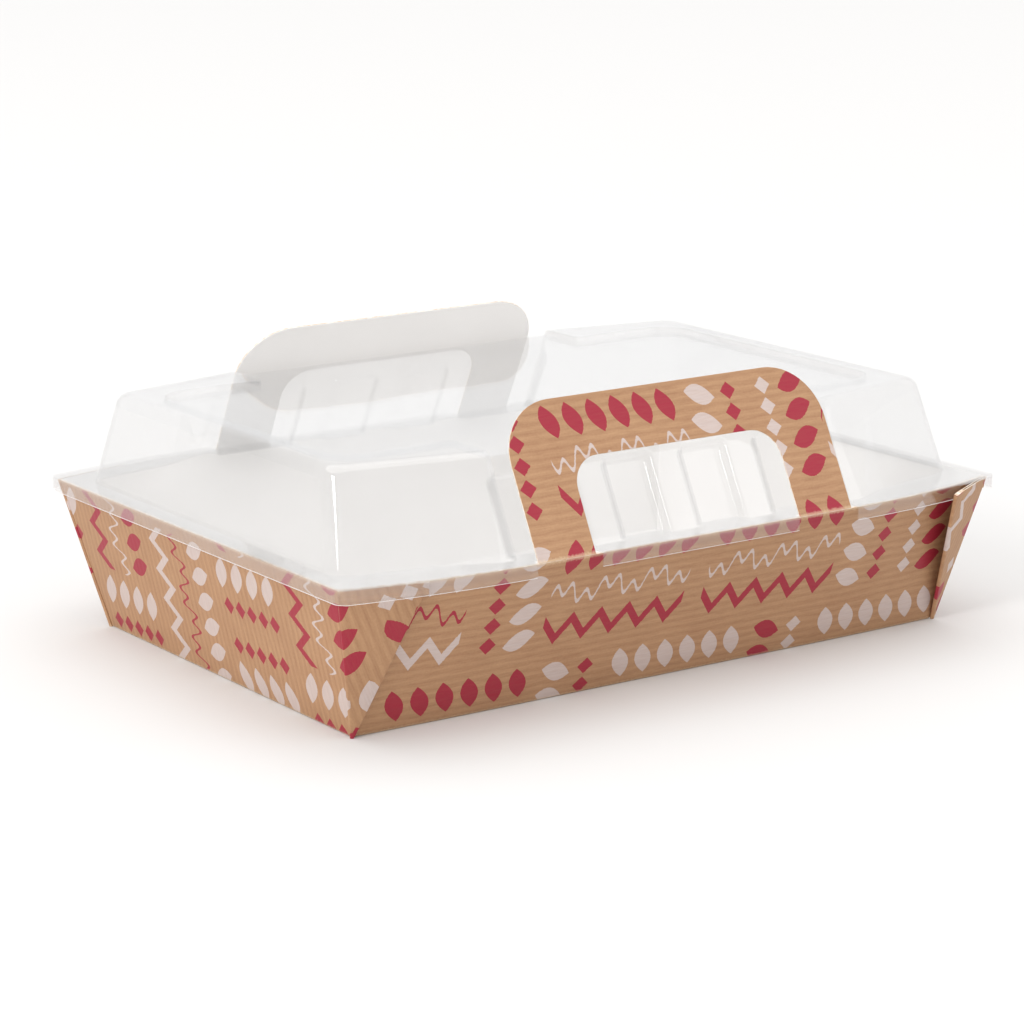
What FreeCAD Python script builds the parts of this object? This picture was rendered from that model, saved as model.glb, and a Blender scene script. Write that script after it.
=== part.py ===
import FreeCAD, Part
import Sketcher
import math
import os

# Takeaway tray folded from one blank of ribbed kraft board, with two arched handle flaps
# that lean in over a clear thermoformed lid. Millimetres, +Z up, origin at the middle of
# the bottom, X along the long walls, front at -Y.

os.makedirs("parts", exist_ok=True)
doc = FreeCAD.newDocument("HandledTray")
sheet = doc.addObject("Spreadsheet::Sheet", "Dimensions")

# Driving dimensions of the folded board
BOARD_SIZES = {
    "board": (0.45, "thickness of the board"),
    "base_length": (182, "bottom, along X"),
    "base_depth": (122.5, "bottom, along Y"),
    "wall_height": (39.8, "bottom to rim"),
    "rim_length": (200, "rim, along X"),
    "rim_depth": (142, "rim at the corners, along Y"),
    "rim_bow": (7.5, "how far each long rim bows out past its corners"),
    "base_bow": (0.7, "the same bow at the bottom crease"),
    "ear_width": (22.4, "web corner's folded ear, along the rim"),
    "ear_slit": (0.1, "air between the two layers of an ear"),
    "ear_rest": (1.5, "degrees that a pressed ear stands off its wall"),
    "ear_sprung": (18, "degrees that the sprung front right ear stands off"),
}

# Driving dimensions of the handle flaps
HANDLE_SIZES = {
    "handle_width": (96.6, "flap, along the crease"),
    "handle_height": (39.6, "flap, up its slope from the crease"),
    "handle_corner": (15, "radius of the flap's top corners"),
    "handle_lean": (27, "degrees that the flap leans inward"),
    "hole_width": (63, "hand hole, along the crease"),
    "hole_height": (24.1, "hand hole, up the slope from the crease"),
    "hole_corner": (8, "radius of the hand hole's top corners"),
    "crease_gap": (0.4, "hinge line to the flap's lower edge"),
    "crease_bead": (0.2, "radius of the bead along the hinge line"),
}

# Driving dimensions of the lid
LID_SIZES = {
    "sheet_wall": (0.4, "thickness of the clear sheet"),
    "seat_gap": (0.3, "rim to the underside of the flange"),
    "flange_width": (4.4, "rim to the foot of the raised walls"),
    "lid_height": (24.9, "underside of the flange to the crest"),
    "lid_draft": (4, "how far the end walls lean in on the way up"),
    "lid_side_draft": (8.5, "the same for the long walls at their corners"),
    "foot_margin": (4.5, "recess to the end of the straight stretch, at its foot"),
    "knee_margin": (1.5, "the same at its top"),
    "shoulder_run": (12, "length of the shoulder beside that stretch, along X"),
    "shoulder_depth": (5.8, "how far the shoulder falls back along that length"),
    "block_run": (27.6, "length of a corner block's long face, along X"),
    "block_depth": (5.8, "how far that face falls back along its length"),
    "lid_corner": (6, "radius of the upright corners"),
    "crest_radius": (4, "rounding of the top edges"),
    "panel_drop": (1.5, "crest down to the flat panel"),
    "panel_margin": (7.5, "crest outline to the edge of the panel"),
    "panel_corner": (9, "radius of the panel's corners"),
    "lip_drop": (3, "rim down to the lower edge of the lip"),
    "lip_gap": (1.0, "board to the inside of the lip"),
    "ear_room": (1.8, "extra room in the lip for the folded ears"),
    "lip_corner": (3, "inner radius of the lip's corners"),
    "leg_room": (1.2, "clear space each side of a handle leg"),
    "rest_width": (103, "recess for the handle, along X"),
    "rest_step": (0.4, "depth of the recess inside the foot of the long walls"),
    "flute_depth": (3.5, "depth of the recess and its flutes"),
    "flute_pitch": (23.4, "spacing of the three ridges"),
    "ridge_width": (10.4, "width of a ridge"),
    "flute_drop": (8, "crest down to the head of a flute"),
    "head_rise": (3.2, "height of a flute's sloping head"),
    "flute_round": (1.2, "rounding of the flutes' edges"),
}

row = 1
for sizes in (BOARD_SIZES, HANDLE_SIZES, LID_SIZES):
    for alias, (number, meaning) in sizes.items():
        sheet.set(f"A{row}", meaning)
        sheet.set(f"B{row}", str(number))
        sheet.setAlias(f"B{row}", alias)
        row += 1
doc.recompute()


def size(alias):
    return float(getattr(sheet, alias))


def vector(x, y, z):
    return FreeCAD.Vector(x, y, z)


def keep(label, shape):
    feature = doc.addObject("Part::Feature", label)
    feature.Label = label
    feature.Shape = shape
    feature.Placement = FreeCAD.Placement()
    return feature


# Outlines: a rectangle with bowed long sides, straight along the handles


def outline(half_length, half_depth, bow, z, straight):
    """Closed wire, counter-clockwise from the front left corner."""
    reach = half_length - straight
    radius = (reach * reach + bow * bow) / (2 * bow)
    sweep = math.asin(reach / radius)
    middle = half_depth + bow
    half_x = straight + radius * math.sin(sweep / 2)
    half_y = middle - radius * (1 - math.cos(sweep / 2))
    front_left = vector(-half_length, -half_depth, z)
    front_right = vector(half_length, -half_depth, z)
    rear_right = vector(half_length, half_depth, z)
    rear_left = vector(-half_length, half_depth, z)
    edges = [
        Part.Arc(front_left, vector(-half_x, -half_y, z), vector(-straight, -middle, z)).toShape(),
        Part.makeLine(vector(-straight, -middle, z), vector(straight, -middle, z)),
        Part.Arc(vector(straight, -middle, z), vector(half_x, -half_y, z), front_right).toShape(),
        Part.makeLine(front_right, rear_right),
        Part.Arc(rear_right, vector(half_x, half_y, z), vector(straight, middle, z)).toShape(),
        Part.makeLine(vector(straight, middle, z), vector(-straight, middle, z)),
        Part.Arc(vector(-straight, middle, z), vector(-half_x, half_y, z), rear_left).toShape(),
        Part.makeLine(rear_left, front_left),
    ]
    return Part.Wire(edges)


def loft(low, high):
    """Solid between two outlines; a stretch that turns on its way up becomes two triangles."""
    faces = [Part.Face(low), Part.Face(high)]
    for foot, head in zip(low.Edges, high.Edges):
        start, end = foot.valueAt(foot.FirstParameter), foot.valueAt(foot.LastParameter)
        above, last = head.valueAt(head.FirstParameter), head.valueAt(head.LastParameter)
        if foot.Curve.TypeId != "Part::GeomLine":
            faces.append(Part.makeRuledSurface(foot, head))
        elif (end - start).normalize().cross((last - above).normalize()).Length < 1e-9:
            faces.append(Part.Face(Part.makePolygon([start, end, last, above, start])))
        elif abs(start.x) > abs(end.x):
            faces.append(Part.Face(Part.makePolygon([start, end, above, start])))
            faces.append(Part.Face(Part.makePolygon([end, last, above, end])))
        else:
            faces.append(Part.Face(Part.makePolygon([start, end, last, start])))
            faces.append(Part.Face(Part.makePolygon([start, last, above, start])))
    shell = Part.Shell(faces)
    shell.sewShape()
    return Part.Solid(shell).removeSplitter()


def prism(wire, height):
    return Part.Face(wire).extrude(vector(0, 0, height))


def upright_corners(solid):
    """The four edges where the end walls meet the long walls."""
    box = solid.BoundBox
    corners = []
    for edge in solid.Edges:
        ends = [vertex.Point for vertex in edge.Vertexes]
        if len(ends) == 2 and abs(ends[0].z - ends[1].z) > 0.5 * box.ZLength:
            if abs(ends[0].x) > 0.85 * box.XMax and abs(ends[0].y) > 0.7 * box.YMax:
                corners.append(edge)
    return corners


def edges_at(solid, z):
    """Every edge that lies wholly at one height."""
    return [e for e in solid.Edges if max(abs(v.Z - z) for v in e.Vertexes) < 1e-6]


# Tray: bottom, four walls, double-layer web corners folded onto the long walls


def tray_form(inset, z_low, z_high):
    """The walls' form between two heights, moved inward by a board's thickness."""
    height = size("wall_height")
    end_slope = math.atan((size("rim_length") - size("base_length")) / 2 / height)
    side_slope = math.atan((size("rim_depth") - size("base_depth")) / 2 / height)
    straight = size("handle_width") / 2
    wires = []
    for z in (z_low, z_high):
        share = z / height
        half_length = (size("base_length") + share * (size("rim_length") - size("base_length"))) / 2
        half_depth = (size("base_depth") + share * (size("rim_depth") - size("base_depth"))) / 2
        bow = size("base_bow") + share * (size("rim_bow") - size("base_bow"))
        half_length -= inset / math.cos(end_slope)
        half_depth -= inset / math.cos(side_slope)
        wires.append(outline(half_length, half_depth, bow, z, straight))
    return loft(*wires)


def crease_line():
    """Distance of the hinge line from the middle, at mid-thickness of the board."""
    return size("rim_depth") / 2 + size("rim_bow") - size("board") / 2


def ear(spring):
    """Front left ear: a triangle of two layers, turned about the corner fold."""
    board = size("board")
    thickness = 2 * board + size("ear_slit")
    low = vector(-size("base_length") / 2, -size("base_depth") / 2, 0)
    top = vector(-size("rim_length") / 2, -size("rim_depth") / 2, size("wall_height"))
    reach = size("rim_length") / 2 - size("handle_width") / 2
    bow_angle = 2 * math.atan(size("rim_bow") / reach) * (1 - size("ear_width") / reach / 2)
    tip = top + vector(math.cos(bow_angle), -math.sin(bow_angle), 0) * size("ear_width")
    outward = (top - low).cross(tip - low).normalize()
    if outward.y > 0:
        outward = -outward
    sink = board / 2
    layers = Part.Face(Part.makePolygon([low, top, tip, low])).extrude(outward * thickness)
    fold = (tip - low).normalize().cross(outward)
    if fold.dot(top - low) < 0:
        fold = -fold
    slit_face = Part.Face(Part.makePolygon([low, top, tip, low]))
    slit_face.translate(fold * board + outward * board)
    slit = slit_face.extrude(outward * size("ear_slit"))
    plate = layers.cut(slit)
    plate.translate(outward * -sink)
    plate.rotate(low, top - low, spring)
    slab = Part.makeBox(size("rim_length"), size("rim_depth"), size("wall_height"))
    slab.translate(vector(-size("rim_length"), -size("rim_depth"), 0))
    return plate.common(slab)


def make_tray():
    board = size("board")
    height = size("wall_height")
    walls = tray_form(0, 0, height).cut(tray_form(board, board, height + board))
    middle = vector(0, 0, 0)
    across_x = vector(1, 0, 0)
    across_y = vector(0, 1, 0)
    pressed = ear(-size("ear_rest"))
    sprung = ear(-size("ear_sprung")).mirror(middle, across_x)
    ears = [pressed, sprung, pressed.mirror(middle, across_y)]
    ears.append(pressed.mirror(middle, across_x).mirror(middle, across_y))
    beads = []
    for side in (-1, 1):
        start = vector(-size("handle_width") / 2, side * crease_line(), height)
        beads.append(Part.makeCylinder(size("crease_bead"), size("handle_width"), start, across_x))
    return keep("tray", walls.multiFuse(ears + beads).removeSplitter())


# Handles: flat flaps with a hand hole, hinged along the crease in the rim


def rectangle(sketch, half_width, bottom, top):
    """Upright rectangle about the sketch's vertical axis, sized by three expressions."""
    corners = [vector(-10, 1, 0), vector(10, 1, 0), vector(10, 9, 0), vector(-10, 9, 0)]
    for start, end in zip(corners, corners[1:] + corners[:1]):
        sketch.addGeometry(Part.LineSegment(start, end), False)
    for line in range(4):
        sketch.addConstraint(Sketcher.Constraint("Coincident", line, 2, (line + 1) % 4, 1))
    for line, kind in ((1, "Vertical"), (2, "Horizontal"), (3, "Vertical")):
        sketch.addConstraint(Sketcher.Constraint(kind, line))
    sketch.addConstraint(Sketcher.Constraint("Symmetric", 0, 1, 0, 2, -2))
    for index, first, point, expression in (
        ("DistanceX", 1, 1, half_width),
        ("DistanceY", 0, 1, bottom),
        ("DistanceY", 2, 1, top),
    ):
        number = sketch.addConstraint(Sketcher.Constraint(index, -1, 1, first, point, 10.0))
        sketch.setExpression(f"Constraints[{number}]", expression)


def corner_edges(shape, half_width, height):
    """Names of the edges through the board at two mirrored corners."""
    names = []
    for number, edge in enumerate(shape.Edges, 1):
        middle = edge.CenterOfMass
        if abs(abs(middle.x) - half_width) < 0.01 and abs(middle.z - height) < 0.01:
            if edge.BoundBox.XLength < 0.01 and edge.BoundBox.ZLength < 0.01:
                names.append(f"Edge{number}")
    return names


def make_handle(label, side):
    body = doc.addObject("PartDesign::Body", label)
    body.Label = label
    plane = next(p for p in body.Origin.OriginFeatures if p.Role == "XZ_Plane")

    flap = body.newObject("Sketcher::SketchObject", label + "_outline")
    flap.AttachmentSupport = [(plane, "")]
    flap.MapMode = "FlatFace"
    rectangle(flap, "Dimensions.handle_width / 2", "Dimensions.crease_gap", "Dimensions.handle_height")
    pad = body.newObject("PartDesign::Pad", label + "_board")
    pad.Profile = flap
    pad.Midplane = True
    pad.setExpression("Length", "Dimensions.board")

    hole = body.newObject("Sketcher::SketchObject", label + "_hole")
    hole.AttachmentSupport = [(plane, "")]
    hole.MapMode = "FlatFace"
    rectangle(hole, "Dimensions.hole_width / 2", "Dimensions.crease_gap / 2", "Dimensions.hole_height")
    pocket = body.newObject("PartDesign::Pocket", label + "_hand_hole")
    pocket.Profile = hole
    pocket.Type = "ThroughAll"
    pocket.Midplane = True
    doc.recompute()

    rounded = pocket
    for name, width, top, radius in (
        ("_top_corners", "handle_width", "handle_height", "handle_corner"),
        ("_hole_corners", "hole_width", "hole_height", "hole_corner"),
    ):
        fillet = body.newObject("PartDesign::Fillet", label + name)
        fillet.Base = (rounded, corner_edges(rounded.Shape, size(width) / 2, size(top)))
        fillet.setExpression("Radius", "Dimensions." + radius)
        doc.recompute()
        rounded = fillet

    axis = vector(side, 0, 0)
    body.Placement = FreeCAD.Placement(vector(0, 0, 0), FreeCAD.Rotation(axis, size("handle_lean")))
    line = "(Dimensions.rim_depth / 2 + Dimensions.rim_bow - Dimensions.board / 2)"
    body.setExpression("Placement.Base.y", f"{side} * {line}")
    body.setExpression("Placement.Base.z", "Dimensions.wall_height")
    body.setExpression("Placement.Rotation.Angle", "Dimensions.handle_lean")
    return body


# Lid: one clear sheet, formed over the rim


def lid_base():
    return size("wall_height") + size("seat_gap")


def lid_top():
    return lid_base() + size("lid_height")


def panel_height():
    return lid_top() - size("panel_drop")


def straight_front():
    """The straight stretch's distance from the middle, at the foot."""
    return size("rim_depth") / 2 + size("rim_bow") - size("flange_width")


def foot_reach():
    """Middle to the end of the straight stretch, at the foot."""
    return size("rest_width") / 2 + size("foot_margin")


def bend_reach():
    """Middle to the bend between shoulder and corner block, at the foot."""
    return foot_reach() + size("shoulder_run")


def block_line(z, inset):
    """The corner blocks' flat long faces: distance from the middle and turn, at one height."""
    turn = math.atan2(size("block_depth"), size("block_run"))
    bend_y = straight_front() - size("shoulder_depth")
    share = (z - lid_base()) / size("lid_height")
    distance = math.sin(turn) * bend_reach() + math.cos(turn) * bend_y
    return distance - share * size("lid_side_draft") - inset, turn


def block_point(x, z, inset):
    distance, turn = block_line(z, inset)
    return (x, (distance - math.sin(turn) * x) / math.cos(turn))


def four_fold(quarter, z):
    """Closed outline from the points of one quarter."""
    points = [vector(-x, -y, z) for x, y in quarter]
    points += [vector(x, -y, z) for x, y in reversed(quarter)]
    points += [vector(x, y, z) for x, y in quarter]
    points += [vector(-x, y, z) for x, y in reversed(quarter)]
    return Part.makePolygon(points + points[:1])


def lid_outline(z, inset):
    """End walls and corner blocks, whose faces run on as far as the handle recess."""
    share = (z - lid_base()) / size("lid_height")
    end = size("rim_length") / 2 - size("flange_width") - share * size("lid_draft") - inset
    knee = size("rest_width") / 2 + size("knee_margin")
    return four_fold([block_point(end, z, inset), block_point(knee, z, inset)], z)


def shoulder_outline(z, inset):
    """Shoulders that carry the long walls outward at the foot and fade out at the top."""
    height = size("lid_height") - size("crest_radius")
    share = (z - lid_base()) / height
    slope = size("shoulder_depth") / size("shoulder_run")
    tuck = size("knee_margin")
    bend_x, bend_y = block_point(bend_reach() - share * tuck, z, inset)
    top_reach = size("rest_width") / 2 + size("knee_margin")
    top_y = block_point(top_reach, lid_base() + height, 0)[1] - size("sheet_wall")
    knee_x = foot_reach() + share * (top_reach - foot_reach())
    knee_y = straight_front() + share * (top_y - straight_front()) - inset
    return four_fold([(bend_x + tuck, bend_y - tuck * slope), (knee_x, knee_y)], z)


def lid_form(inset, z_low):
    """The raised form, with its upright corners and its top edges rounded."""
    z_high = lid_top() - inset
    form = loft(lid_outline(z_low, inset), lid_outline(z_high, inset))
    form = form.makeFillet(size("lid_corner") - inset, upright_corners(form))
    form = form.makeFillet(size("crest_radius") - inset, edges_at(form, z_high))
    z_high = lid_top() - size("crest_radius")
    shoulders = loft(shoulder_outline(z_low, inset), shoulder_outline(z_high, inset))
    return form.fuse(shoulders)


def flute_cutters(grow):
    """What presses the handle recess and its flutes into the two long walls."""
    lean = math.tan(math.radians(size("handle_lean")))
    floor = lid_base() + size("sheet_wall")
    head = lid_top() - size("flute_drop")
    roof = head + size("head_rise") + grow
    top = lid_top() + 1
    foot = straight_front() - size("sheet_wall") * lean
    rest = foot - size("rest_step") - grow
    inner = rest - size("flute_depth")
    outside = foot + size("flange_width")
    low = floor - (1 if grow else 0)
    flute = [
        (outside, low),
        (inner + (floor - low) * lean, low),
        (inner - (head - floor) * lean, head),
        (rest - (head - floor) * lean, roof),
        (outside, roof),
    ]
    recess = [
        (outside, low),
        (rest + (floor - low) * lean, low),
        (rest - (top - floor) * lean, top),
        (outside, top),
    ]
    ridge = size("ridge_width") / 2
    pitch = size("flute_pitch")
    edge = size("rest_width") / 2
    spans = [(flute, ridge, pitch - ridge), (flute, pitch + ridge, edge), (recess, grow, edge)]
    cutters = []
    for side in (-1, 1):
        for hand in (-1, 1):
            for profile, near, far in spans:
                start, end = sorted((hand * (near - grow), hand * (far + grow)))
                points = [vector(start, side * y, z) for y, z in profile]
                face = Part.Face(Part.makePolygon(points + points[:1]))
                cutters.append(face.extrude(vector(end - start, 0, 0)))
    return cutters


def panel_cutters(grow):
    """The sunk flat panel, which runs out over both handle recesses."""
    z = panel_height() - grow
    half_length = size("rim_length") / 2 - size("flange_width") - size("lid_draft")
    half_depth = block_point(half_length + size("lid_draft"), lid_base(), 0)[1] - size("lid_side_draft")
    long_side = 2 * (half_length - size("panel_margin") + grow)
    short_side = 2 * (half_depth - size("panel_margin") + grow)
    deep = size("panel_drop") + 2 * grow + 1
    panel = Part.makeBox(long_side, short_side, deep, vector(-long_side / 2, -short_side / 2, z))
    panel = panel.makeFillet(size("panel_corner") + grow, upright_corners(panel))
    across = size("rest_width") + 2 * grow
    gap = Part.makeBox(across, size("rim_depth"), deep, vector(-across / 2, -size("rim_depth") / 2, z))
    return [panel, gap]


def soften(form):
    """Round the upright edges of the flutes and the lines where their heads turn."""
    near = size("rest_width") / 2 - 1
    outer = size("rim_depth") / 2 - 5 * size("flange_width")
    edges = []
    for edge in form.Edges:
        if len(edge.Vertexes) == 2 and edge.Curve.TypeId == "Part::GeomLine":
            start, end = (vertex.Point for vertex in edge.Vertexes)
            run = end - start
            upright = abs(run.z) > 0.5 * run.Length and abs(run.x) < 0.01
            level = abs(run.x) > 0.99 * run.Length and lid_base() + 5 < start.z < panel_height() - 1
            inside = abs(edge.CenterOfMass.x) < near and abs(start.y) > outer
            if (upright or level) and run.Length > 3 and inside:
                edges.append(edge)
    return form.makeFillet(size("flute_round"), edges)


def rim_cap():
    """Flange over the rim with the lip turned down outside it."""
    wall = size("sheet_wall")
    straight = size("handle_width") / 2
    low = size("wall_height") - size("lip_drop")
    half_length = size("rim_length") / 2 + size("lip_gap")
    half_depth = size("rim_depth") / 2 + size("lip_gap") + size("ear_room")
    bow = size("rim_bow") - size("ear_room")
    outer = prism(outline(half_length + wall, half_depth + wall, bow, low, straight), lid_base() + wall - low)
    inner = prism(outline(half_length, half_depth, bow, low - 1, straight), lid_base() - low + 1)
    outer = outer.makeFillet(size("lip_corner") + wall, upright_corners(outer))
    inner = inner.makeFillet(size("lip_corner"), upright_corners(inner))
    return outer.cut(inner)


def leg_notches():
    """Where the handle legs pass the flange, and where the sprung ear pushes through the lip."""
    near = size("hole_width") / 2 - size("leg_room")
    far = size("handle_width") / 2 + size("leg_room")
    inner = crease_line() - size("board") / 2 - size("leg_room")
    low = size("wall_height") - size("lip_drop") - 1
    tall = size("lip_drop") + size("seat_gap") + size("sheet_wall") + 2
    notches = []
    for hand in (-1, 1):
        start = min(hand * near, hand * far)
        for y in (inner, -inner - 10):
            notches.append(Part.makeBox(far - near, 10, tall, vector(start, y, low)))
    ear_start = size("rim_length") / 2 - 0.6 * size("ear_width")
    ear_front = size("rim_depth") / 2 - size("lip_gap")
    ear_end = 0.6 * size("ear_width") + size("lip_gap")
    notches.append(Part.makeBox(ear_end, 10, lid_base() - low, vector(ear_start, -ear_front - 10, low)))
    return notches


def make_lid():
    wall = size("sheet_wall")
    raised = lid_form(0, lid_base())
    raised = soften(raised.cut(panel_cutters(0) + flute_cutters(0)))
    cavity = lid_form(wall, lid_base())
    cavity = soften(cavity.cut(panel_cutters(wall) + flute_cutters(wall)))
    shell = raised.fuse(rim_cap()).cut([cavity] + leg_notches())
    return keep("lid", shell.removeSplitter())


nodes = [make_tray(), make_handle("front_handle", -1), make_handle("rear_handle", 1), make_lid()]
doc.recompute()

for item in doc.Objects:
    if "Invalid" in item.State or "Error" in item.State:
        raise RuntimeError(f"{item.Name} did not recompute: {item.State}")
for node in nodes:
    if node.Shape.isNull() or not node.Shape.isValid():
        raise RuntimeError(f"{node.Label} has no valid shape")
    print(node.Label, "solids", len(node.Shape.Solids), "volume", round(node.Shape.Volume, 1))
for node in nodes:
    node.Shape.exportStep(f"parts/{node.Label}.step")
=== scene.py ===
import math

import bmesh
import bpy
from mathutils import Matrix, Quaternion, Vector


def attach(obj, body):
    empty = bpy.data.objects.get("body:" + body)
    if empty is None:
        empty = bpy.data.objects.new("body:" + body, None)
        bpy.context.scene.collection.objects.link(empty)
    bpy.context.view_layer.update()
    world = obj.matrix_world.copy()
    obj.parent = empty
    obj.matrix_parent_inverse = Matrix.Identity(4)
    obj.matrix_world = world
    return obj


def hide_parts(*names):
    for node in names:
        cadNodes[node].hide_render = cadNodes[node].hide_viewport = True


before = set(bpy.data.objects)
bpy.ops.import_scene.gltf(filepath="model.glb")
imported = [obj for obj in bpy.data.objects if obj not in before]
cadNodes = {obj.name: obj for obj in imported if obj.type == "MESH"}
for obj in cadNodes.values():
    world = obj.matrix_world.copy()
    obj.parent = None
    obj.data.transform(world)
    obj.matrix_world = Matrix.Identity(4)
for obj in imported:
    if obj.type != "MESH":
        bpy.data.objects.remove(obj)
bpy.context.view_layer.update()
print("frame loaded:", sorted(cadNodes))

mm = 0.001

boardSizes = {
    "thickness": 0.45,
    "baseLength": 182.0,
    "baseDepth": 122.5,
    "height": 39.8,
    "wallSlope": 40.895,  # bottom to rim, measured up a wall
    "rimLength": 200.0,
    "rimDepth": 142.0,
    "baseBow": 0.7,
    "rimBow": 7.5,
    "straight": 48.3,  # half of the stretch along a handle that isn't bowed
    "creaseRadius": 0.7,
}


# Small helpers for work in edit mode

def deselectAll():
    if bpy.context.object and bpy.context.object.mode != "OBJECT":
        bpy.ops.object.mode_set(mode="OBJECT")
    bpy.ops.object.select_all(action="DESELECT")


def editMode(piece, kind="VERT"):
    deselectAll()
    piece.select_set(True)
    bpy.context.view_layer.objects.active = piece
    bpy.ops.object.mode_set(mode="EDIT")
    bpy.ops.mesh.select_mode(type=kind)


def objectMode():
    bpy.ops.object.mode_set(mode="OBJECT")


def pick(piece, kind, test):
    mesh = bmesh.from_edit_mesh(piece.data)
    bpy.ops.mesh.select_all(action="DESELECT")
    for item in getattr(mesh, kind):
        if test(item):
            item.select_set(True)
    mesh.select_flush_mode()
    bmesh.update_edit_mesh(piece.data)


def bisectAt(place, normal, **options):
    bpy.ops.mesh.select_all(action="SELECT")
    bpy.ops.mesh.bisect(plane_co=place, plane_no=normal, **options)


def applyModifier(piece, kind, **settings):
    deselectAll()
    piece.select_set(True)
    bpy.context.view_layer.objects.active = piece
    modifier = piece.modifiers.new(kind.lower(), kind)
    for key, value in settings.items():
        setattr(modifier, key, value)
    bpy.ops.object.modifier_apply(modifier=modifier.name)


# Materials: a node is added with its settings and links by one function

def linear(hexColour):
    values = [int(hexColour[i:i + 2], 16) / 255 for i in (1, 3, 5)]
    return [v / 12.92 if v <= 0.04045 else ((v + 0.055) / 1.055) ** 2.4 for v in values] + [1.0]


def addNode(tree, kind, inputs=None, **settings):
    node = tree.nodes.new("ShaderNode" + kind)
    for key, value in settings.items():
        setattr(node, key, value)
    for key, value in (inputs or {}).items():
        if isinstance(value, bpy.types.NodeSocket):
            tree.links.new(value, node.inputs[key])
        else:
            node.inputs[key].default_value = value
    return node


def newMaterial(name):
    material = bpy.data.materials.new(name)
    material.use_nodes = True
    material.node_tree.nodes.clear()
    return material, material.node_tree


def finishMaterial(tree, surface):
    addNode(tree, "OutputMaterial", {"Surface": surface})


def mixColours(tree, share, under, over):
    return addNode(tree, "Mix", {0: share, 6: under, 7: over}, data_type="RGBA").outputs[2]


def compute(tree, known, steps):  # a table of sums, each kept under its name for the rows below it
    for name, operation, *values in steps:
        inputs = {i: known.get(v, v) for i, v in enumerate(values)}
        known[name] = addNode(tree, "Math", inputs, operation=operation).outputs[0]
    return known


petLook = {
    "ior": 1.57,
    "veil": 0.05,  # thin haze of a formed sheet
    "roughness": 0.03,
    "ripple": 38.0,  # waves per metre left by the forming
    "density": 26.0,  # greys the folds, where the sheet is seen along its thickness
}


def sheetPet():  # clear thermoformed polyester: bright edges, soft mirror at a low angle, faint veil
    p = petLook
    material, tree = newMaterial("clearPetSheet")
    side = addNode(tree, "NewGeometry").outputs["Backfacing"]
    ior = addNode(tree, "MapRange", {"Value": side, "To Min": p["ior"], "To Max": 1 / p["ior"]}).outputs[0]
    place = addNode(tree, "TexCoord").outputs["Object"]
    wave = addNode(tree, "TexNoise", {"Vector": place, "Scale": p["ripple"], "Detail": 1.0}).outputs[0]
    ripple = addNode(tree, "Bump", {"Height": wave, "Strength": 0.35, "Distance": 0.4 * mm}).outputs[0]
    share = addNode(tree, "Fresnel", {"IOR": ior, "Normal": ripple}).outputs[0]
    clear = addNode(tree, "BsdfTransparent", {"Color": linear("#FCFCFC")}).outputs[0]
    veil = addNode(tree, "BsdfTranslucent", {"Color": linear("#F6F6F7")}).outputs[0]
    sheet = addNode(tree, "MixShader", {0: p["veil"], 1: clear, 2: veil}).outputs[0]
    mirror = {"Color": linear("#FFFFFF"), "Roughness": p["roughness"], "Normal": ripple}
    gloss = addNode(tree, "BsdfGlossy", mirror).outputs[0]
    surface = addNode(tree, "MixShader", {0: share, 1: sheet, 2: gloss}).outputs[0]
    body = addNode(tree, "VolumeAbsorption", {"Color": linear("#8C8C90"), "Density": p["density"]}).outputs[0]
    addNode(tree, "OutputMaterial", {"Surface": surface, "Volume": body})
    return material


def trimmedPet():  # sawn edge of the sheet: light gathers in it, so it shows as a milky line
    material, tree = newMaterial("trimmedPetEdge")
    place = addNode(tree, "TexCoord").outputs["Object"]
    nicks = addNode(tree, "TexNoise", {"Vector": place, "Scale": 300.0, "Detail": 2.0}).outputs[0]
    rough = addNode(tree, "MapRange", {"Value": nicks, "To Min": 0.15, "To Max": 0.45}).outputs[0]
    shader = addNode(tree, "BsdfPrincipled", {"Base Color": linear("#F3F2F3"), "Roughness": rough})
    finishMaterial(tree, shader.outputs[0])
    return material


def coatedWhite():  # clay-coated inside: even, half matt, with a soft mottled tone and a fine grain in its bump
    material, tree = newMaterial("coatedWhiteBoard")
    place = addNode(tree, "TexCoord").outputs["Object"]
    cloud = addNode(tree, "TexNoise", {"Vector": place, "Scale": 45.0, "Detail": 3.0}).outputs[0]
    grain = addNode(tree, "TexNoise", {"Vector": place, "Scale": 900.0, "Detail": 2.0}).outputs[0]
    tone = mixColours(tree, cloud, linear("#E4E2E0"), linear("#ECEAE8"))
    rough = addNode(tree, "MapRange", {"Value": cloud, "To Min": 0.38, "To Max": 0.55}).outputs[0]
    bump = addNode(tree, "Bump", {"Height": grain, "Strength": 0.25, "Distance": 0.02 * mm}).outputs[0]
    shader = addNode(tree, "BsdfPrincipled", {"Base Color": tone, "Roughness": rough, "Normal": bump})
    finishMaterial(tree, shader.outputs[0])
    return material


def cutEdge():  # die-cut edge: pale fibres with brown ones torn into them
    material, tree = newMaterial("cutBoardEdge")
    place = addNode(tree, "TexCoord").outputs["Object"]
    fibre = addNode(tree, "TexNoise", {"Vector": place, "Scale": 700.0, "Detail": 4.0}).outputs[0]
    share = addNode(tree, "MapRange", {"Value": fibre, "From Min": 0.35, "From Max": 0.7}).outputs[0]
    tone = mixColours(tree, share, linear("#EAE3D8"), linear("#C3A27F"))
    bump = addNode(tree, "Bump", {"Height": fibre, "Strength": 0.6, "Distance": 0.08 * mm}).outputs[0]
    shader = addNode(tree, "BsdfPrincipled", {"Base Color": tone, "Roughness": 0.85, "Normal": bump})
    finishMaterial(tree, shader.outputs[0])
    return material


# Kraft outside: ribs, fibres, printed motifs and wear lie on the flat blank, in mm of the UV layer

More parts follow.
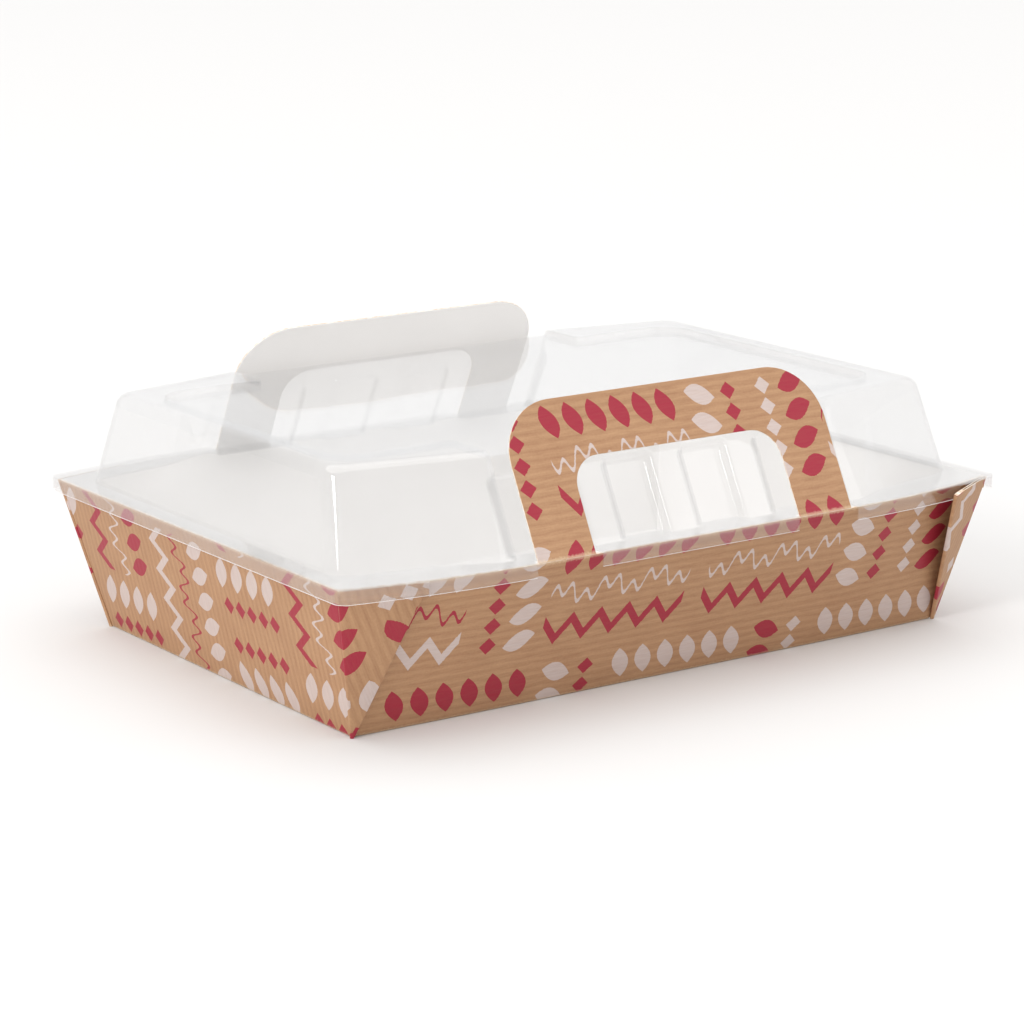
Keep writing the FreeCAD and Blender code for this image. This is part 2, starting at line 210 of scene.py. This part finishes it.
blank = {
    "tileWidth": 66.0,
    "tileHeight": 34.0,
    "rowShift": 23.0,
    "start": 7.0,
    "ribPitch": 2.25,
    "kraftLight": "#B68E69",
    "kraftDark": "#9A7050",
    "crimson": "#98142F",
    "paleInk": "#C6B9B6",
    "bareFibre": "#D8BD9C",
}

# Bands of motifs in a tile: shape, ink, direction, start along, middle across, length, half height, pitch
motifBands = (
    ("leaves", "crimson", "x", 2.0, 7.0, 42.0, 4.4, 7.0),
    ("waves", "paleInk", "x", 3.0, 17.0, 42.0, 3.6, 14.0),
    ("zigzag", "crimson", "x", 3.0, 27.0, 42.0, 4.2, 8.4),
    ("leaves", "paleInk", "y", 2.0, 51.5, 30.0, 4.4, 7.5),
    ("diamonds", "crimson", "y", 3.0, 60.5, 28.0, 2.4, 5.6),
)


def motifMask(tree, known, number):
    shape, _, run, start, middle, length, half, pitch = motifBands[number]
    along, across = ("x", "y") if run == "x" else ("y", "x")
    compute(tree, known, (
        ("p", "SUBTRACT", along, start),
        ("q", "SUBTRACT", across, middle),
        ("inLength", "COMPARE", "p", length / 2, length / 2),
        ("inHeight", "COMPARE", "q", 0.0, half + 0.6),
        ("cell", "FLOORED_MODULO", "p", pitch),
        ("c", "SUBTRACT", "cell", pitch / 2),
        ("qShare", "DIVIDE", "q", half),
        ("inside", "MULTIPLY", "inLength", "inHeight"),
    ))
    if shape == "leaves":
        compute(tree, known, (
            ("qSquare", "MULTIPLY", "qShare", "qShare"),
            ("wide", "MULTIPLY_ADD", "qSquare", -0.36 * pitch, 0.36 * pitch),
            ("leant", "MULTIPLY_ADD", "q", -0.3, "c"),
            ("off", "ABSOLUTE", "leant"),
            ("shape", "GREATER_THAN", "wide", "off"),
        ))
    elif shape == "diamonds":
        compute(tree, known, (
            ("cShare", "DIVIDE", "c", 0.42 * pitch),
            ("cOff", "ABSOLUTE", "cShare"),
            ("qOff", "ABSOLUTE", "qShare"),
            ("sum", "ADD", "cOff", "qOff"),
            ("shape", "LESS_THAN", "sum", 1.0),
        ))
    elif shape == "zigzag":
        compute(tree, known, (
            ("swing", "PINGPONG", "p", pitch / 2),
            ("rise", "MULTIPLY_ADD", "swing", 2.6 * half / pitch, -0.65 * half),
            ("gap", "SUBTRACT", "q", "rise"),
            ("off", "ABSOLUTE", "gap"),
            ("shape", "LESS_THAN", "off", 1.6),
        ))
    else:
        compute(tree, known, (
            ("turnA", "MULTIPLY", "p", 2 * math.pi / pitch),
            ("waveA", "SINE", "turnA"),
            ("turnB", "MULTIPLY", "p", 6 * math.pi / pitch),
            ("waveB", "SINE", "turnB"),
            ("riseA", "MULTIPLY", "waveA", 0.45 * half),
            ("rise", "MULTIPLY_ADD", "waveB", 0.5 * half, "riseA"),
            ("gap", "SUBTRACT", "q", "rise"),
            ("off", "ABSOLUTE", "gap"),
            ("shape", "LESS_THAN", "off", 0.62),
        ))
    return compute(tree, known, (("mask", "MULTIPLY", "shape", "inside"),))["mask"]


def kraftOutside():  # uncoated brown kraft, ribbed along X, printed in two inks, rubbed pale on its folds
    b = blank
    material, tree = newMaterial("printedRibbedKraft")
    flat = addNode(tree, "UVMap", uv_map="blank").outputs[0]
    stretched = addNode(tree, "Mapping", {"Vector": flat, "Scale": (0.22, 2.2, 1.0)}).outputs[0]
    fibre = addNode(tree, "TexNoise", {"Vector": stretched, "Scale": 1.0, "Detail": 4.0}).outputs[0]
    cloud = addNode(tree, "TexNoise", {"Vector": flat, "Scale": 0.09, "Detail": 3.0}).outputs[0]
    speck = addNode(tree, "TexNoise", {"Vector": flat, "Scale": 1.6, "Detail": 2.0}).outputs[0]
    split = addNode(tree, "SeparateXYZ", {0: flat})
    known = {"uFlat": split.outputs[0], "vFlat": split.outputs[1]}
    known.update({"fibre": fibre, "cloud": cloud, "speck": speck})

    compute(tree, known, (
        ("drift", "MULTIPLY_ADD", "cloud", 1.2, "vFlat"),
        ("ribTurn", "MULTIPLY", "drift", 2 * math.pi / b["ribPitch"]),
        ("rib", "SINE", "ribTurn"),
        ("tone", "MULTIPLY_ADD", "rib", 0.16, "fibre"),
        ("mottled", "MULTIPLY_ADD", "cloud", 0.5, "tone"),
        ("shade", "MULTIPLY_ADD", "speck", 0.5, "mottled"),
        ("light", "SUBTRACT", "shade", 0.5),
        ("height", "MULTIPLY_ADD", "rib", 0.35, "fibre"),
        # ink creeps a little along the fibres
        ("creep", "SUBTRACT", "speck", 0.5),
        ("u", "MULTIPLY_ADD", "creep", 0.35, "uFlat"),
        ("v", "MULTIPLY_ADD", "creep", 0.35, "vFlat"),
        ("vStart", "ADD", "v", b["start"]),
        ("rowPlace", "DIVIDE", "vStart", b["tileHeight"]),
        ("row", "FLOOR", "rowPlace"),
        ("y", "FLOORED_MODULO", "vStart", b["tileHeight"]),
        ("uShift", "MULTIPLY_ADD", "row", b["rowShift"], "u"),
        ("columnPlace", "DIVIDE", "uShift", b["tileWidth"]),
        ("column", "FLOOR", "columnPlace"),
        ("xPlain", "FLOORED_MODULO", "uShift", b["tileWidth"]),
    ))
    tile = addNode(tree, "CombineXYZ", {0: known["column"], 1: known["row"]}).outputs[0]
    known["chance"] = addNode(tree, "TexWhiteNoise", {"Vector": tile}, noise_dimensions="2D").outputs["Value"]
    compute(tree, known, (
        ("turned", "GREATER_THAN", "chance", 0.5),
        ("chances", "MULTIPLY", "chance", 7.0),
        ("secondChance", "FRACT", "chances"),
        ("back", "MULTIPLY_ADD", "xPlain", -2.0, b["tileWidth"]),
        ("x", "MULTIPLY_ADD", "turned", "back", "xPlain"),
    ))

    inks = {"crimson": 0.0, "paleInk": 0.0}
    for number, band in enumerate(motifBands):
        known["before"] = inks[band[1]]
        known["mask"] = motifMask(tree, known, number)
        inks[band[1]] = compute(tree, known, (("after", "MAXIMUM", "before", "mask"),))["after"]

    # some tiles carry the two inks the other way round
    known.update(inks)
    compute(tree, known, (
        ("swapped", "GREATER_THAN", "secondChance", 0.6),
        ("apart", "SUBTRACT", "paleInk", "crimson"),
        ("change", "MULTIPLY", "apart", "swapped"),
        ("crimson", "ADD", "crimson", "change"),
        ("paleInk", "SUBTRACT", "paleInk", "change"),
    ))

    # worn pale where the blank is folded: around the bottom and along the rim
    compute(tree, known, (
        ("uOff", "ABSOLUTE", "uFlat"),
        ("vOff", "ABSOLUTE", "vFlat"),
        ("pastEnd", "SUBTRACT", "uOff", boardSizes["baseLength"] / 2),
        ("pastSide", "SUBTRACT", "vOff", boardSizes["baseDepth"] / 2),
        ("up", "MAXIMUM", "pastEnd", "pastSide"),
        ("low", "ABSOLUTE", "up"),
        ("fromRim", "SUBTRACT", "up", boardSizes["wallSlope"]),
        ("high", "ABSOLUTE", "fromRim"),
        ("near", "MINIMUM", "low", "high"),
        ("ragged", "MULTIPLY_ADD", "speck", -1.1, "near"),
    ))
    wear = addNode(tree, "MapRange", {"Value": known["ragged"], "From Min": -0.35, "From Max": 0.35,
                                      "To Min": 0.55, "To Max": 0.0}).outputs[0]

    compute(tree, known, (
        ("redCover", "MULTIPLY_ADD", "fibre", 0.15, 0.9),
        ("redShare", "MULTIPLY", "crimson", "redCover"),
        ("paleCover", "MULTIPLY_ADD", "fibre", 0.45, 0.55),
        ("paleShare", "MULTIPLY", "paleInk", "paleCover"),
        ("printed", "MAXIMUM", "crimson", "paleInk"),
        ("rough", "MULTIPLY_ADD", "printed", -0.12, 0.66),
    ))
    colour = mixColours(tree, known["light"], linear(b["kraftDark"]), linear(b["kraftLight"]))
    colour = mixColours(tree, known["redShare"], colour, linear(b["crimson"]))
    colour = mixColours(tree, known["paleShare"], colour, linear(b["paleInk"]))
    colour = mixColours(tree, wear, colour, linear(b["bareFibre"]))
    height, rough = known["height"], known["rough"]
    bump = addNode(tree, "Bump", {"Height": height, "Strength": 0.5, "Distance": 0.06 * mm}).outputs[0]
    shader = addNode(tree, "BsdfPrincipled", {"Base Color": colour, "Roughness": rough, "Normal": bump})
    finishMaterial(tree, shader.outputs[0])
    return material


kraft = kraftOutside()
white = coatedWhite()
edge = cutEdge()
pet = sheetPet()
petEdge = trimmedPet()


# Tray: bottom and bowed walls as one shell, with its inside coated white

def bowDrop(d, reach, bow):
    radius = (reach * reach + bow * bow) / (2 * bow)
    return radius - math.sqrt(radius * radius - d * d)


def wallPoint(share, level):
    s = boardSizes
    end = (s["rimLength"] if level else s["baseLength"]) / 2
    depth = (s["rimDepth"] if level else s["baseDepth"]) / 2
    bow = s["rimBow"] if level else s["baseBow"]
    reach = end - s["straight"]
    return s["straight"] + share * reach, depth + bow - bowDrop(share * reach, reach, bow)


def makeWalls():
    s = boardSizes
    bpy.ops.mesh.primitive_plane_add(size=1)
    walls = bpy.context.object
    walls.name = "trayWalls"
    editMode(walls)
    bpy.ops.transform.resize(value=(s["baseLength"] * mm, s["baseDepth"] * mm, 1))
    shares = [i / 12 for i in range(12)]
    for share in shares:
        x = wallPoint(share, 0)[0] * mm
        for side in (-1, 1):
            bisectAt((side * x, 0, 0), (1, 0, 0))
    middle = 32  # columns that stay straight lie this far out at most
    for x in (-middle, -middle / 2, 0, middle / 2, middle):
        bisectAt((x * mm, 0, 0), (1, 0, 0))
    for y in (-40, -20, 0, 20, 40):
        bisectAt((0, y * mm, 0), (0, 1, 0))
    bpy.ops.mesh.select_all(action="DESELECT")
    bpy.ops.mesh.select_non_manifold()
    bpy.ops.mesh.extrude_region_move(TRANSFORM_OT_translate={"value": (0, 0, s["height"] * mm)})
    half = s["baseDepth"] / 2 * mm
    for level in (0, 1):
        z = level * s["height"] * mm
        for share in shares + [1.0]:
            xBase = wallPoint(share, 0)[0] * mm
            x, y = (v * mm for v in wallPoint(share, level))
            pick(walls, "verts", lambda v: abs(v.co.z - z) < 1e-6 and abs(abs(v.co.x) - xBase) < 1e-6
                 and abs(abs(v.co.y) - half) < 1e-6)
            bpy.ops.transform.resize(value=(x / xBase, y / half, 1), center_override=(0, 0, z))
        y = wallPoint(0, level)[1] * mm
        pick(walls, "verts", lambda v: abs(v.co.z - z) < 1e-6 and abs(v.co.x) < (middle + 1) * mm
             and abs(abs(v.co.y) - half) < 1e-6)
        bpy.ops.transform.resize(value=(1, y / half, 1), center_override=(0, 0, z))
    endBase = s["baseLength"] / 2 * mm
    pick(walls, "verts", lambda v: v.co.z > s["height"] / 2 * mm and abs(abs(v.co.x) - endBase) < 1e-6)
    bpy.ops.transform.resize(value=(s["rimLength"] / s["baseLength"], s["rimDepth"] / s["baseDepth"], 1),
                             center_override=(0, 0, 0))
    for z in (8, 16, 24, 32):
        bisectAt((0, 0, z * mm), (0, 0, 1))
    bpy.ops.mesh.select_all(action="SELECT")
    bpy.ops.mesh.normals_make_consistent(inside=False)
    objectMode()
    unwrapWalls(walls)
    applyModifier(walls, "BEVEL", width=s["creaseRadius"] * mm, segments=3, limit_method="ANGLE",
                  angle_limit=math.radians(35))
    for material in (kraft, white, edge):
        walls.data.materials.append(material)
    applyModifier(walls, "SOLIDIFY", thickness=s["thickness"] * mm, offset=-1, use_even_offset=True,
                  material_offset=1, material_offset_rim=2)
    return walls


def unwrapWalls(walls):
    s = boardSizes
    layer = walls.data.uv_layers.new(name="blank")
    slant = s["wallSlope"] / s["height"]
    for face in walls.data.polygons:
        normal = face.normal
        for loop in face.loop_indices:
            x, y, z = (c / mm for c in walls.data.vertices[walls.data.loops[loop].vertex_index].co)
            if abs(normal.z) > 0.7:
                place = (x, y)
            elif abs(normal.x) > abs(normal.y):
                place = (math.copysign(s["baseLength"] / 2 + z * slant, normal.x), y)
            else:
                place = (x, math.copysign(s["baseDepth"] / 2 + z * slant, normal.y))
            layer.data[loop].uv = place


# Web corner ears: two layers of board, folded onto the long walls

earSizes = {
    "width": 22.4,
    "layers": 1.0,  # both layers together
    "sink": 0.22,
    "rest": 1.5,  # degrees that a pressed ear stands off
    "sprung": 15.5,  # and the one that has come open
    "slitWidth": 0.34,
    "slitDepth": 3.0,
}


def makeEar(name, spring, flipX, flipY):
    s = boardSizes
    e = earSizes
    thick = e["layers"]
    low = Vector((-s["baseLength"] / 2, -s["baseDepth"] / 2, 0)) * mm
    top = Vector((-s["rimLength"] / 2, -s["rimDepth"] / 2, s["height"])) * mm
    reach = s["rimLength"] / 2 - s["straight"]
    bowAngle = 2 * math.atan(s["rimBow"] / reach) * (1 - e["width"] / reach / 2)
    tip = top + Vector((math.cos(bowAngle), -math.sin(bowAngle), 0)) * e["width"] * mm
    outward = (top - low).cross(tip - low).normalized()
    if outward.y > 0:
        outward.negate()
    bpy.ops.mesh.primitive_circle_add(vertices=3, fill_type="NGON")
    ear = bpy.context.object
    ear.name = name
    fold, cornerLine = tip - low, top - low
    drop, rise = 0.02, 1.04  # made a little long at first, then trimmed level with bottom and rim
    places = [low - (cornerLine + fold) * drop, low + cornerLine * rise, low + fold * rise]
    for vertex, place in zip(ear.data.vertices, places):
        vertex.co = place - outward * e["sink"] * mm
    editMode(ear, "FACE")
    bpy.ops.mesh.select_all(action="SELECT")
    bpy.ops.mesh.extrude_region_move(TRANSFORM_OT_translate={"value": outward * thick * mm})
    swing = Matrix.Rotation(-math.radians(spring), 4, cornerLine)
    turn = Matrix.Translation(low) @ swing @ Matrix.Translation(-low)
    objectMode()
    ear.data.transform(turn)
    editMode(ear, "EDGE")
    bpy.ops.mesh.select_all(action="SELECT")
    bpy.ops.mesh.normals_make_consistent(inside=False)
    runs = (swing @ fold).normalized(), cornerLine.normalized()

    def alongFold(line):
        way = (line.verts[0].co - line.verts[1].co).normalized()
        return any(abs(way.dot(run)) > 0.999 for run in runs)

    pick(ear, "edges", alongFold)
    bpy.ops.mesh.bevel(offset=0.3 * thick * mm, segments=3, affect="EDGES")
    bisectAt((0, 0, s["height"] * mm), (0, 0, 1), clear_outer=True, use_fill=True)
    bisectAt((0, 0, 0.02 * mm), (0, 0, 1), clear_inner=True, use_fill=True)
    bpy.ops.mesh.select_mode(type="FACE")
    pick(ear, "faces", lambda f: f.normal.z > 0.99)
    bpy.ops.mesh.inset(thickness=(thick - e["slitWidth"]) / 2 * mm, use_even_offset=True)
    slit = (0.3 * mm, 0.3 * mm, -e["slitDepth"] * mm)
    bpy.ops.mesh.extrude_region_move(TRANSFORM_OT_translate={"value": slit})
    objectMode()
    for material in (kraft, white, edge):
        ear.data.materials.append(material)
    layer = ear.data.uv_layers.new(name="blank")
    endAngle = math.atan2((s["rimDepth"] - s["baseDepth"]) / 2, cornerLine.length / mm)
    back = turn.inverted()
    for face in ear.data.polygons:
        if face.normal.z > 0.9:
            face.material_index = 2
        for loop in face.loop_indices:
            place = back @ ear.data.vertices[ear.data.loops[loop].vertex_index].co - low
            along = place.dot(cornerLine.normalized()) / mm
            off = math.sqrt(max(place.length_squared / mm / mm - along * along, 0))
            angle = endAngle + math.atan2(off, along) if along > 0 else endAngle
            far = math.hypot(along, off)
            layer.data[loop].uv = (-s["baseLength"] / 2 - far * math.cos(angle),
                                   -s["baseDepth"] / 2 - far * math.sin(angle))
    ear.data.transform(Matrix.Diagonal((flipX, flipY, 1, 1)))
    for loop in layer.data:
        loop.uv = (loop.uv[0] * flipX, loop.uv[1] * flipY)
    if flipX != flipY:
        ear.data.flip_normals()
    return ear


def makeTray():
    pieces = [makeWalls()]
    pieces.append(makeEar("earFrontLeft", earSizes["rest"], 1, 1))
    pieces.append(makeEar("earFrontRight", earSizes["sprung"], -1, 1))
    pieces.append(makeEar("earRearLeft", earSizes["rest"], 1, -1))
    pieces.append(makeEar("earRearRight", earSizes["rest"], -1, -1))
    deselectAll()
    for piece in pieces:
        piece.select_set(True)
    bpy.context.view_layer.objects.active = pieces[0]
    bpy.ops.object.join()
    tray = bpy.context.object
    tray.name = "trayBoard"
    bpy.ops.object.shade_smooth_by_angle(angle=math.radians(30))
    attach(tray, "base")
    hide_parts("tray")
    print("tray made:", len(tray.data.polygons), "faces")
    return tray


# Handles: a flap with a hand hole, printed outside and white inside

flapSizes = {
    "width": 96.6,
    "height": 39.6,
    "corner": 15.0,
    "lean": 27.0,
    "holeWidth": 63.0,
    "holeHeight": 24.1,
    "holeCorner": 8.0,
    "crease": 78.275,  # hinge line from the middle
}


def roundedSlab(name, width, bottom, top, corner, thick):
    bpy.ops.mesh.primitive_cube_add(size=1)
    slab = bpy.context.object
    slab.name = name
    editMode(slab, "EDGE")
    bpy.ops.transform.resize(value=(width * mm, thick * mm, (top - bottom) * mm))
    bpy.ops.transform.translate(value=(0, 0, (top + bottom) / 2 * mm))
    pick(slab, "edges", lambda line: all(v.co.z > (top - 0.1) * mm for v in line.verts)
         and abs(line.verts[0].co.x - line.verts[1].co.x) < 1e-6)
    bpy.ops.mesh.bevel(offset=corner * mm, segments=12, affect="EDGES")
    objectMode()
    return slab


def makeFlap(name, side, body, node):
    s = flapSizes
    thick = boardSizes["thickness"]
    flap = roundedSlab(name, s["width"], 0.0, s["height"], s["corner"], thick)
    hole = roundedSlab("holeCutter", s["holeWidth"], -5, s["holeHeight"], s["holeCorner"], 5)
    applyModifier(flap, "BOOLEAN", operation="DIFFERENCE", object=hole, solver="EXACT")
    bpy.data.objects.remove(hole)
    editMode(flap, "EDGE")
    bpy.ops.mesh.select_all(action="SELECT")
    bpy.ops.mesh.dissolve_limited(angle_limit=math.radians(1))
    objectMode()
    for material in (kraft, white, edge):
        flap.data.materials.append(material)
    layer = flap.data.uv_layers.new(name="blank")
    start = boardSizes["baseDepth"] / 2 + boardSizes["wallSlope"]
    for face in flap.data.polygons:
        if face.normal.y * side < 0.9:
            face.material_index = 1 if face.normal.y * side < -0.9 else 2
        for loop in face.loop_indices:
            place = flap.data.vertices[flap.data.loops[loop].vertex_index].co / mm
            layer.data[loop].uv = (place.x, side * (start + place.z))
    turn = Matrix.Rotation(math.radians(s["lean"]) * side, 4, "X")
    lift = Matrix.Translation((0, side * s["crease"] * mm, boardSizes["height"] * mm))
    flap.data.transform(lift @ turn)
    applyModifier(flap, "BEVEL", width=0.08 * mm, segments=1, limit_method="ANGLE",
                  angle_limit=math.radians(60))
    deselectAll()
    flap.select_set(True)
    bpy.context.view_layer.objects.active = flap
    bpy.ops.object.shade_smooth_by_angle(angle=math.radians(30))
    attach(flap, body)
    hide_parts(node)
    print(name, "made")
    return flap


makeTray()
makeFlap("frontFlap", -1, "front_flap", "front_handle")
makeFlap("rearFlap", 1, "rear_flap", "rear_handle")


# Lid: the formed sheet, with the trimmed lower edge of its lip catching the light

def dressLid():
    lid = cadNodes["lid"]
    lid.data.materials.clear()
    for material in (pet, petEdge):
        lid.data.materials.append(material)
    lowest = min(v.co.z for v in lid.data.vertices)
    for face in lid.data.polygons:
        if face.normal.z < -0.9 and face.center.z < lowest + 0.1 * mm:
            face.material_index = 1
    print("lid dressed")


dressLid()


# Studio: pale floor, soft lights, camera as the photograph was taken

studio = {
    "target": (-2.76, 0.0, 30.815),
    "azimuth": -34.123,
    "elevation": 13.568,
    "roll": -0.504,
    "distance": 875.76,
    "lens": 116.02,
    "floor": "#D6D5D4",
}


def makeFloor():
    deselectAll()
    bpy.ops.mesh.primitive_plane_add(size=12)
    floor = bpy.context.object
    floor.name = "studioFloor"
    material, tree = newMaterial("paintedFloor")
    shader = addNode(tree, "BsdfPrincipled", {"Base Color": linear(studio["floor"]), "Roughness": 0.9})
    finishMaterial(tree, shader.outputs[0])
    floor.data.materials.append(material)


def softbox(name, place, aim, width, height, power):
    bpy.ops.object.light_add(type="AREA")
    lamp = bpy.context.object
    lamp.name = name
    lamp.data.shape = "RECTANGLE"
    lamp.data.size = width
    lamp.data.size_y = height
    lamp.data.energy = power
    lamp.location = place
    lamp.rotation_mode = "QUATERNION"
    lamp.rotation_quaternion = (Vector(place) - Vector(aim)).to_track_quat("Z", "Y")


def makeCamera():
    s = studio
    a = math.radians(s["azimuth"])
    e = math.radians(s["elevation"])
    back = Vector((math.sin(a) * math.cos(e), -math.cos(a) * math.cos(e), math.sin(e)))
    camera = bpy.data.objects.new("camera", bpy.data.cameras.new("camera"))
    bpy.context.scene.collection.objects.link(camera)
    camera.location = (Vector(s["target"]) + back * s["distance"]) * mm
    camera.rotation_mode = "QUATERNION"
    roll = Quaternion((0, 0, 1), math.radians(s["roll"]))
    camera.rotation_quaternion = (-back).to_track_quat("-Z", "Y") @ roll
    camera.data.lens = s["lens"]
    camera.data.sensor_width = 36
    camera.data.clip_start = 0.02
    camera.data.clip_end = 40
    bpy.context.scene.camera = camera


makeFloor()
softbox("keyLight", (-2.8, -0.9, 1.6), (0, 0, 0.03), 0.9, 0.9, 48)
softbox("fillLight", (0.9, -1.3, 0.6), (0, 0, 0.03), 1.0, 1.0, 1.5)
bpy.ops.object.light_add(type="SUN", location=(0, 0, 2), rotation=(math.radians(-12), 0, 0))
ceiling = bpy.context.object
ceiling.name = "ceilingLight"
ceiling.data.energy = 1.16
ceiling.data.angle = math.radians(75)  # as wide as a lit studio ceiling
world = bpy.data.worlds.new("studioWorld")
bpy.context.scene.world = world
world.use_nodes = True
world.node_tree.nodes["Background"].inputs["Color"].default_value = linear("#FFFFFF")
world.node_tree.nodes["Background"].inputs["Strength"].default_value = 1.0
bpy.context.scene.view_settings.view_transform = "Standard"
makeCamera()
print("studio ready")
